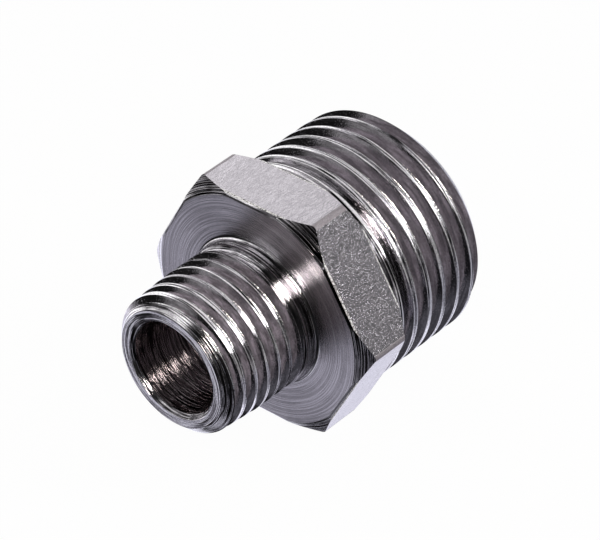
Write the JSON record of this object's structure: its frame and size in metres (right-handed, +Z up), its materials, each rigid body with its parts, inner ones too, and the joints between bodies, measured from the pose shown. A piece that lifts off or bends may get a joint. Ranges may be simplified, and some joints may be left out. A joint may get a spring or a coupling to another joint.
{
  "type": "threaded pipe adapter",
  "caption": "Straight reducing hex nipple that joins a small and a large female pipe thread, with a spanner hexagon between its two male threads and a stepped bore right through.",
  "frame": {"origin": "on the axis of the bore, in the plane of the hexagon's face on the small thread's side", "axes": "+X along the bore towards the large end, +Z up out of one flat of the hexagon; the part lies on the opposite flat"},
  "size_m": [0.0276, 0.024, 0.021],
  "materials": {
    "plated_metal": "bright dark nickel plate over turned metal, with fine tool marks, satin hexagon flats and worn bright edges"
  },
  "bodies": {
    "root": {"adapter": "plated_metal"}
  },
  "joints": []
}
